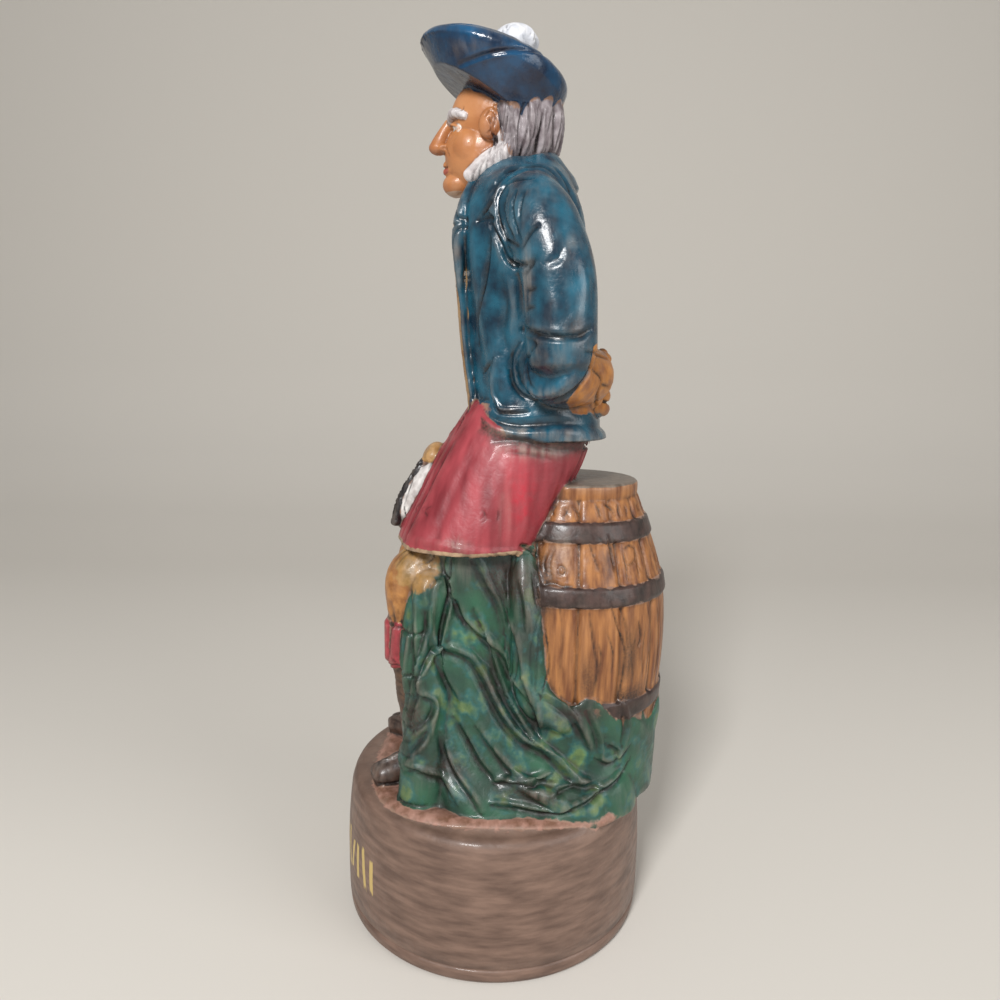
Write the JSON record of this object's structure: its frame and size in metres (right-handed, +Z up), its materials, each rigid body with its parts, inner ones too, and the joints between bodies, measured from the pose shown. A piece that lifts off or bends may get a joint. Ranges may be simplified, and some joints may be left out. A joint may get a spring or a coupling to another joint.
{
  "type": "figural liquor bottle",
  "caption": "Hollow ceramic bottle shaped as an old highlander leaning on a barrel, on a round base, with the head as its corked stopper.",
  "frame": {"origin": "centre of the round base's underside", "axes": "+Z up; the figure faces -Y, so its left side is +X"},
  "size_m": [0.1092, 0.1148, 0.304],
  "materials": {
    "painted_ceramic": "hand-painted stains under a thin gloss glaze",
    "painted_head": "hand-painted stains under a gloss glaze",
    "cork": "matt natural cork"
  },
  "bodies": {
    "root": {"bottle_body": "painted_ceramic", "head_stopper": "painted_head", "stopper_cork": "cork"}
  },
  "joints": []
}
